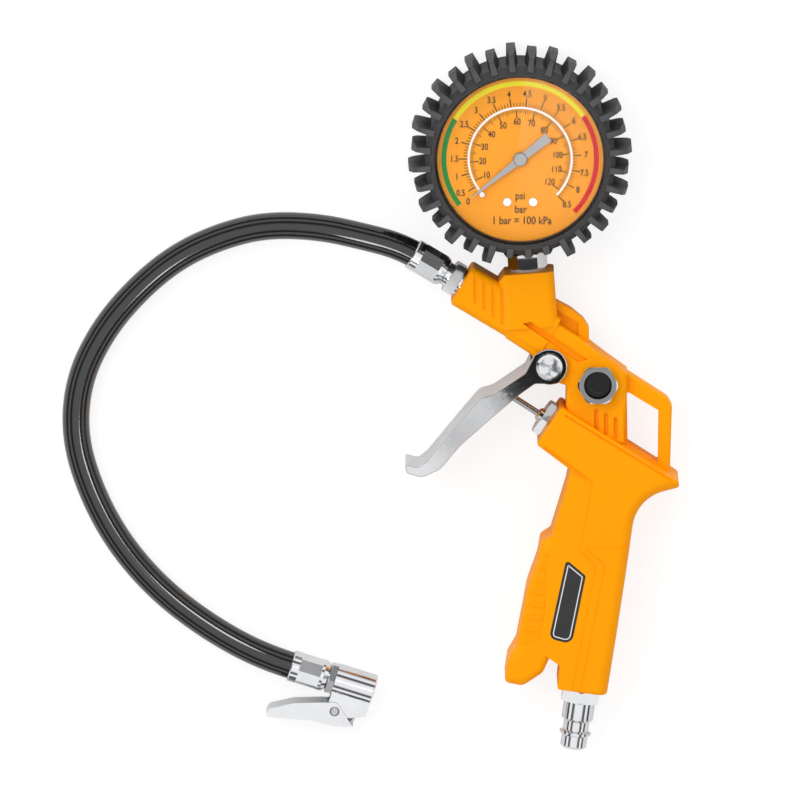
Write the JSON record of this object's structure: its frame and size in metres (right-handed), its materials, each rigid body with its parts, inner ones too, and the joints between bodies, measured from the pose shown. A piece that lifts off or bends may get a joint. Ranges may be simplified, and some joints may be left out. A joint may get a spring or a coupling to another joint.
{
  "type": "tyre inflator",
  "caption": "Hand-held tyre inflator: pistol-grip air gun with trigger valve, bleed valve, dial pressure gauge in a rubber boot, short hose and clip-on chuck.",
  "frame": {"origin": "on the bench under the centre of the gun's box, the hose and chuck left out", "axes": "+Y from the nipple to the gauge, +Z away from the bench out of the dial, +X from the trigger to the hanging frame"},
  "size_m": [0.2353, 0.2723, 0.0318],
  "materials": {
    "orange_paint": "gloss paint on a die casting",
    "plate_black": "satin black plate with a silver edge line",
    "nickel": "nickel plate",
    "seal_grey": "nylon washer",
    "chrome": "bright chrome plate",
    "seal_black": "rubber",
    "steel": "drawn steel rod",
    "brass": "turned brass",
    "spring_steel": "spring wire",
    "button_black": "moulded plastic",
    "hose_black": "glossy black rubber hose",
    "case_steel": "black painted steel",
    "boot_rubber": "moulded rubber",
    "dial_orange": "printed dial",
    "pointer_silver": "satin aluminium",
    "lens": "clear lens",
    "ring_black": "black ring"
  },
  "bodies": {
    "gun": {"gun_body": "orange_paint", "side_plate": "plate_black", "inlet_nipple": "nickel", "nipple_washer": "seal_grey", "valve_gland_nut": "chrome", "gland_seal": "seal_black", "valve_seat": "brass", "valve_spring": "spring_steel", "trigger_pivot_pin": "nickel", "pivot_pin_clip": "spring_steel", "bleed_valve_nut": "nickel", "bleed_spring": "spring_steel", "hose": "hose_black", "gun_end_ferrule": "nickel", "hose_adapter": "nickel", "chuck_end_ferrule": "nickel", "chuck_stem": "nickel", "chuck_housing": "nickel", "chuck_seal": "seal_black", "depressor_pin": "brass", "lever_rivet": "steel", "lever_spring": "spring_steel", "gauge_case": "case_steel", "blowout_plug": "seal_black", "rubber_boot": "boot_rubber", "gauge_stem": "nickel", "stem_washer": "seal_grey", "dial_plate": "dial_orange", "dial_screws": "nickel", "zero_stop_pin": "nickel", "lens": "lens", "lens_ring": "ring_black", "bourdon_tube": "brass", "hairspring": "spring_steel", "movement_lower_plate": "brass", "movement_upper_plate": "brass", "movement_pillars": "brass", "sector_arbor": "steel"},
    "trigger": {"trigger": "chrome"},
    "plunger": {"push_rod": "steel", "valve_poppet": "brass", "poppet_seal": "seal_black"},
    "bleed_plunger": {"bleed_button": "button_black", "bleed_seal": "seal_black"},
    "pointer": {"pointer": "pointer_silver", "pinion": "steel"},
    "sector": {"sector_gear": "brass"},
    "link": {"movement_link": "brass", "tube_tip": "brass"},
    "lever": {"chuck_lever": "nickel", "chuck_jaw": "steel"}
  },
  "joints": [
    {"name": "trigger_squeeze", "type": "hinge", "parent": "gun", "child": "trigger", "pos_m": [0.0027, 0.0138, 0.014], "axis": [0, 0, 1], "range_deg": [0, 12]},
    {"name": "push_rod_slide", "type": "slide", "parent": "gun", "child": "plunger", "axis": [0.8387, -0.5446, 0], "range_m": [0, 0.0047], "stiffness_N_per_m": 400, "springref_m": -0.003, "deforming": ["valve_spring"]},
    {"name": "bleed_press", "type": "slide", "parent": "gun", "child": "bleed_plunger", "axis": [0, 0, -1], "range_m": [0, 0.002], "stiffness_N_per_m": 900, "springref_m": -0.002, "deforming": ["bleed_spring"]},
    {"name": "pointer_sweep", "type": "hinge", "parent": "gun", "child": "pointer", "pos_m": [-0.00847, 0.09359, 0.014], "axis": [0, 0, -1], "range_deg": [0, 263], "deforming": ["hairspring", "bourdon_tube"]},
    {"name": "sector_turn", "type": "hinge", "parent": "gun", "child": "sector", "pos_m": [-0.0076, 0.08137, 0.014], "axis": [0, 0, 1], "range_deg": [0, 30]},
    {"name": "link_swing", "type": "hinge", "parent": "sector", "child": "link", "pos_m": [0.00051, 0.08019, 0.014], "axis": [0, 0, -1], "range_deg": [0, 37]},
    {"name": "chuck_lever_press", "type": "hinge", "parent": "gun", "child": "lever", "pos_m": [-0.07888, -0.12171, 0.008], "axis": [0, 0, -1], "range_deg": [0, 15], "stiffness_Nm_per_rad": 0.3, "springref_deg": -17.19}
  ],
  "couplings": [
    {"joint": "push_rod_slide", "follows": "trigger_squeeze", "m_per_rad": 0.0219},
    {"joint": "sector_turn", "follows": "pointer_sweep", "ratio": 0.11364},
    {"joint": "link_swing", "follows": "pointer_sweep", "ratio": 0.13802}
  ]
}
